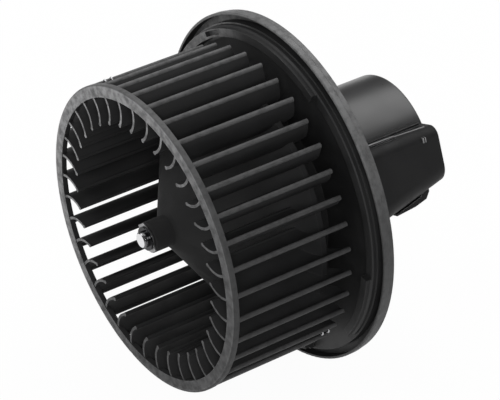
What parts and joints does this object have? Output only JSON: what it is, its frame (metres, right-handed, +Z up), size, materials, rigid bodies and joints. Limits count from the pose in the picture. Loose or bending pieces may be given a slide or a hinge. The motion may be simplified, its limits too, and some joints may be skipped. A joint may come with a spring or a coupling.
{
  "type": "blower motor",
  "caption": "Car cabin blower: barrel fan wheel of curved blades on a brushed motor in a flanged plastic cover with a side connector housing.",
  "frame": {"origin": "where the motor's axis meets the flange's seat, the flat face that lies on the heater box", "axes": "Y along the motor's axis, the fan wheel facing -Y and the motor's cover +Y; +Z up"},
  "size_m": [0.1734, 0.1444, 0.1734],
  "materials": {
    "fan_plastic": "semi-matt black moulding",
    "flange_plastic": "satin black moulding",
    "cover_plastic": "satin black moulding",
    "housing_plastic": "matt black moulding",
    "moulded_insulation": "brown moulding",
    "bright_steel": "turned steel",
    "black_steel": "black coating",
    "lamination_steel": "stacked sheet",
    "copper_wire": "enamelled copper",
    "sintered_bronze": "plain",
    "ferrite": "ground",
    "carbon": "pressed carbon",
    "soft_rubber": "plain",
    "felt": "oiled felt",
    "washer_plastic": "plain"
  },
  "bodies": {
    "stator": {"mounting_flange": "flange_plastic", "motor_cover": "cover_plastic", "cover_screws": "black_steel", "connector_housing": "housing_plastic", "positive_terminal": "sintered_bronze", "negative_terminal": "sintered_bronze", "motor_yoke": "black_steel", "right_magnet": "ferrite", "left_magnet": "ferrite", "magnet_clips": "bright_steel", "front_bearing": "sintered_bronze", "rear_bearing": "sintered_bronze", "front_felt_ring": "felt", "rear_felt_ring": "felt", "front_bearing_retainer": "bright_steel", "rear_bearing_retainer": "bright_steel", "rear_end_cap": "moulded_insulation", "upper_brush_tube": "sintered_bronze", "lower_brush_tube": "sintered_bronze", "upper_brush_spring": "bright_steel", "lower_brush_spring": "bright_steel", "right_choke": "copper_wire", "left_choke": "copper_wire", "front_damper": "soft_rubber", "rear_damper": "soft_rubber", "retaining_ring": "flange_plastic", "retaining_screws": "black_steel"},
    "rotor": {"fan_wheel": "fan_plastic", "fan_clip": "bright_steel", "shaft_circlip": "black_steel", "motor_shaft": "bright_steel", "armature_core": "lamination_steel", "front_insulator": "moulded_insulation", "rear_insulator": "moulded_insulation", "armature_winding": "copper_wire", "commutator": "copper_wire", "front_thrust_washer": "washer_plastic", "rear_thrust_washer": "washer_plastic"},
    "upper_brush": {"upper_brush": "carbon"},
    "lower_brush": {"lower_brush": "carbon"}
  },
  "joints": [
    {"name": "rotor_spin", "type": "hinge", "parent": "stator", "child": "rotor", "pos_m": [0, 0, 0], "axis": [0, 1, 0], "continuous": true},
    {"name": "upper_brush_slide", "type": "slide", "parent": "stator", "child": "upper_brush", "axis": [0, 0, 1], "range_m": [0, 0.0015], "stiffness_N_per_m": 300, "springref_m": -0.01, "deforming": ["upper_brush_spring"]},
    {"name": "lower_brush_slide", "type": "slide", "parent": "stator", "child": "lower_brush", "axis": [0, 0, -1], "range_m": [0, 0.0015], "stiffness_N_per_m": 300, "springref_m": -0.01, "deforming": ["lower_brush_spring"]}
  ]
}
